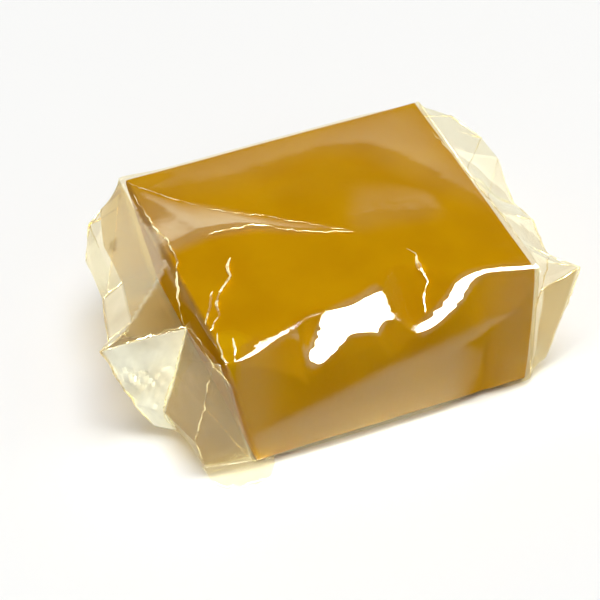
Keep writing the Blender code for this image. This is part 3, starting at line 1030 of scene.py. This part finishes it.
def crease_tree(material):
    """Geometry Nodes for beads along paths laid on the film."""
    inputs = {"Paths": "Geometry", "Film": "Object"}
    start = start_tree("film_creases", inputs | dict.fromkeys(CREASE_FORM, "Float"))
    given = start.node("NodeGroupInput")
    lines = start.node("GeometryNodeMeshToCurve", None, {"Mesh": given.out("Paths")})
    curved = start.node("GeometryNodeCurveSplineType", {"spline_type": "CATMULL_ROM"}, {"Curve": lines})
    steps = {"Curve": curved, "Length": given.out("Step")}
    even = start.node("GeometryNodeResampleCurve", {"mode": "LENGTH"}, steps)
    film = start.node("GeometryNodeObjectInfo", None, {"Object": given.out("Film")}, "Geometry")
    where = start.node("GeometryNodeInputPosition")
    stray = where.noise(1100.0, 2.0, "Color")
    stray = stray.vector("SUBTRACT", (0.5, 0.5, 0.5)).vector("SCALE", scale=2 * given.out("Wander"))
    astray = where.vector("ADD", stray)
    nearest = start.node("GeometryNodeProximity", None, {0: film, "Sample Position": astray}, "Position")
    laid = start.node("GeometryNodeSetPosition", None, {"Geometry": even, "Position": nearest})
    along = start.node("GeometryNodeSplineParameter", None, None, "Factor")
    place = start.node("GeometryNodeInputPosition")
    uneven = start.node("ShaderNodeTexNoise", {"noise_dimensions": "4D"}, {
        "Vector": place,
        "W": given.out("Seed"),
        "Scale": 520.0,
        "Detail": 2.0,
    })
    taper = (4 * along * (1 - along)) ** CREASE_TAPER
    thick = start.node("GeometryNodeInputNamedAttribute", None, {"Name": "thick"}, "Attribute")
    swing = 1 + given.out("Uneven") * (2 * uneven - 1)
    scale = thick * taper * swing.maths("MAXIMUM", swing, CREASE_THINNEST)
    sides = {"Resolution": CREASE_SIDES, "Radius": 1.0}
    ring = start.node("GeometryNodeCurvePrimitiveCircle", None, sides)
    beads = start.node("GeometryNodeCurveToMesh", None, {
        "Curve": laid,
        "Profile Curve": ring,
        "Scale": scale,
        "Fill Caps": True,
    })
    return end_tree(beads, material)


def crease_shader(place):
    """A sharp fold of film: clear in places, with broken pale paint between as its glint."""
    nicks = place.noise(950.0, 3.0)
    clear = place.node("ShaderNodeBsdfTransparent", None, {"Color": EDGE_TINT})
    shine = place.node("ShaderNodeBsdfPrincipled", None, {
        "Base Color": CREASE_PAINTED_GLINT,
        "Metallic": 0.35,
        "Roughness": 0.16 + nicks * 0.14,
    })
    turned = place.node("ShaderNodeLayerWeight", None, {"Blend": 0.5}, "Facing")
    # Broken patches of the pale colour paint the fold's glint
    share = 0.10 + 0.80 * nicks.between(0.40, 0.58) + 0.1 * turned ** 4
    return share.blend_shader(clear, shine)


def fold_paths(end, creases):
    """The paths of an end fold's ridge and of the creases across it."""
    net = fold_net(end)
    ridge = net.shape[1] - 3
    paths = [net[first:last + 1, ridge] for first, last in RIDGE_RUNS]
    paths += [net[column, low:high + 1] for column, low, high in creases]
    return [(RIDGE_RADIUS, path) for path in paths]


def path_mesh(paths):
    """A mesh of edges along the paths, with each one's bead radius on its points."""
    points, edges, thick = [], [], []
    for radius, path in paths:
        edges += [(len(points) + k, len(points) + k + 1) for k in range(len(path) - 1)]
        points += [tuple(np.array(point) * MM + np.array(BLOCK_FOOT)) for point in path]
        thick += [radius * MM] * len(path)
    mesh = bpy.data.meshes.new("crease_paths")
    mesh.from_pydata(points, edges, [])
    mesh.attributes.new("thick", "FLOAT", "POINT").data.foreach_set("value", thick)
    return mesh


crease_paths = list(LOOSE_CREASES)
crease_paths += fold_paths(LEFT_FOLD, LEFT_CREASES) + fold_paths(RIGHT_FOLD, RIGHT_CREASES)
film_creases = grow(
    "film_creases",
    crease_tree(paint("film_crease", crease_shader)),
    {"Film": film_wrap, **CREASE_FORM},
    path_mesh(crease_paths),
)
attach(film_creases, "root")
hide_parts("film_wrapper")


# The studio. A plain pale floor and soft light: a large lamp above, a window of
# light in front, and a pale wall of light behind that the film mirrors.
FLOOR_PALE = (0.86, 0.86, 0.85, 1.0)
FLOOR_FAR = (0.68, 0.68, 0.67, 1.0)
FLOOR_MOTTLE = 0.985
FLOOR_REACH = 3.0
OVERHEAD = {
    "azimuth": 0, "elevation": 83, "distance": 0.8, "width": 0.50, "height": 0.34, "radiance": 10.6,
}
WINDOW = {
    "azimuth": 6, "elevation": 42, "distance": 0.9, "width": 1.95, "height": 0.60, "radiance": 60.0,
}
ROOM_WHITE = (1.0, 1.0, 1.0, 1.0)
ROOM_FILL = 0.32
ROOM_DARK = 0.015
ROOM_LOW = 0.45
WALL_BRIGHT = 1.9
WALL_TOP = (0.58, 0.66)
WALL_SIDE = (-0.1, 0.5)
BACKDROP = 0.95
VIEW_AZIMUTH = -21.98
VIEW_ELEVATION = 42.75
VIEW_ROLL = 0.98
VIEW_DISTANCE = 0.1897
VIEW_HEIGHT = 0.00615
VIEW_AIM = Vector((-0.0006, 0.0, 0.0050))
LENS = 144.0


def floor_shader(place):
    """Pale paint, with a glow that makes up for the lamp's fall-off far away."""
    spread = place.vector("LENGTH") / OVERHEAD["distance"]
    far = 1 - (1 + spread * spread) ** -2.0
    faint = place.noise(30.0, 2.0)
    shade = faint.blend_colour(FLOOR_PALE, tuple(FLOOR_MOTTLE * c for c in FLOOR_PALE[:3]) + (1.0,))
    return place.node("ShaderNodeBsdfPrincipled", None, {
        "Base Color": shade,
        "Roughness": 0.9,
        "Specular IOR Level": 0.0,
        "Emission Color": far.blend_colour((0.0, 0.0, 0.0, 1.0), FLOOR_FAR),
        "Emission Strength": 1.0,
    })


floor_mesh = bpy.data.meshes.new("floor")
corners = [(sx * FLOOR_REACH, sy * FLOOR_REACH, 0.0) for sx, sy in ((-1, -1), (1, -1), (1, 1), (-1, 1))]
floor_mesh.from_pydata(corners, [], [(0, 1, 2, 3)])
floor_mesh.materials.append(paint("pale_floor", floor_shader))
floor = add_object("floor", floor_mesh)


def direction(azimuth, elevation):
    """The way from the middle to a place at this azimuth and elevation."""
    turn, rise = math.radians(azimuth), math.radians(elevation)
    return Vector((math.sin(turn) * math.cos(rise), -math.cos(turn) * math.cos(rise), math.sin(rise)))


def lamp(name, azimuth, elevation, distance, width, height, radiance):
    """A soft lamp that faces the caramel; only its light and reflection show."""
    data = bpy.data.lights.new(name, "AREA")
    data.shape = "RECTANGLE"
    data.size = width
    data.size_y = height
    data.energy = radiance * math.pi * width * height
    item = add_object(name, data)
    item.location = direction(azimuth, elevation) * distance
    item.rotation_mode = "QUATERNION"
    item.rotation_quaternion = direction(azimuth, elevation).to_track_quat("Z", "Y")
    item.visible_camera = False
    return item


overhead = lamp("overhead", **OVERHEAD)
overhead.visible_glossy = False
window = lamp("window", **WINDOW)
window.visible_diffuse = False

world = bpy.data.worlds.new("studio")
bpy.context.scene.world = world
world.use_nodes = True
world.node_tree.nodes.clear()
sky = Wire(world.node_tree)
way = sky.node("ShaderNodeTexCoord", output="Generated")
heading = way.vector("MULTIPLY", (1.0, 1.0, 0.0)).vector("NORMALIZE")
towards_back = heading.vector("DOT_PRODUCT", tuple(direction(VIEW_AZIMUTH + 180, 0)))
low = 1 - way.part("Z").between(*WALL_TOP)
mirrored = ROOM_DARK + low * (ROOM_LOW + towards_back.between(*WALL_SIDE) * WALL_BRIGHT)
rays = sky.node("ShaderNodeLightPath", output="Is Camera Ray")
glossy = rays.out("Is Glossy Ray")
strength = ROOM_FILL + rays * (BACKDROP - ROOM_FILL) + glossy * (mirrored - ROOM_FILL)
back_light = sky.node("ShaderNodeBackground", None, {"Color": ROOM_WHITE, "Strength": strength})
sky.node("ShaderNodeOutputWorld", None, {"Surface": back_light})

camera_data = bpy.data.cameras.new("camera")
camera_data.lens = LENS
camera_data.clip_start = 0.01
camera = add_object("camera", camera_data)
camera.location = direction(VIEW_AZIMUTH, VIEW_ELEVATION) * VIEW_DISTANCE + Vector((0, 0, VIEW_HEIGHT))
camera.rotation_mode = "QUATERNION"
aim = (VIEW_AIM - camera.location).to_track_quat("-Z", "Y")
camera.rotation_quaternion = aim @ Matrix.Rotation(math.radians(-VIEW_ROLL), 3, "Z").to_quaternion()
bpy.context.scene.camera = camera

bpy.context.scene.view_settings.view_transform = "Standard"
bpy.context.scene.cycles.transparent_max_bounces = 48
bpy.context.scene.cycles.use_denoising = True
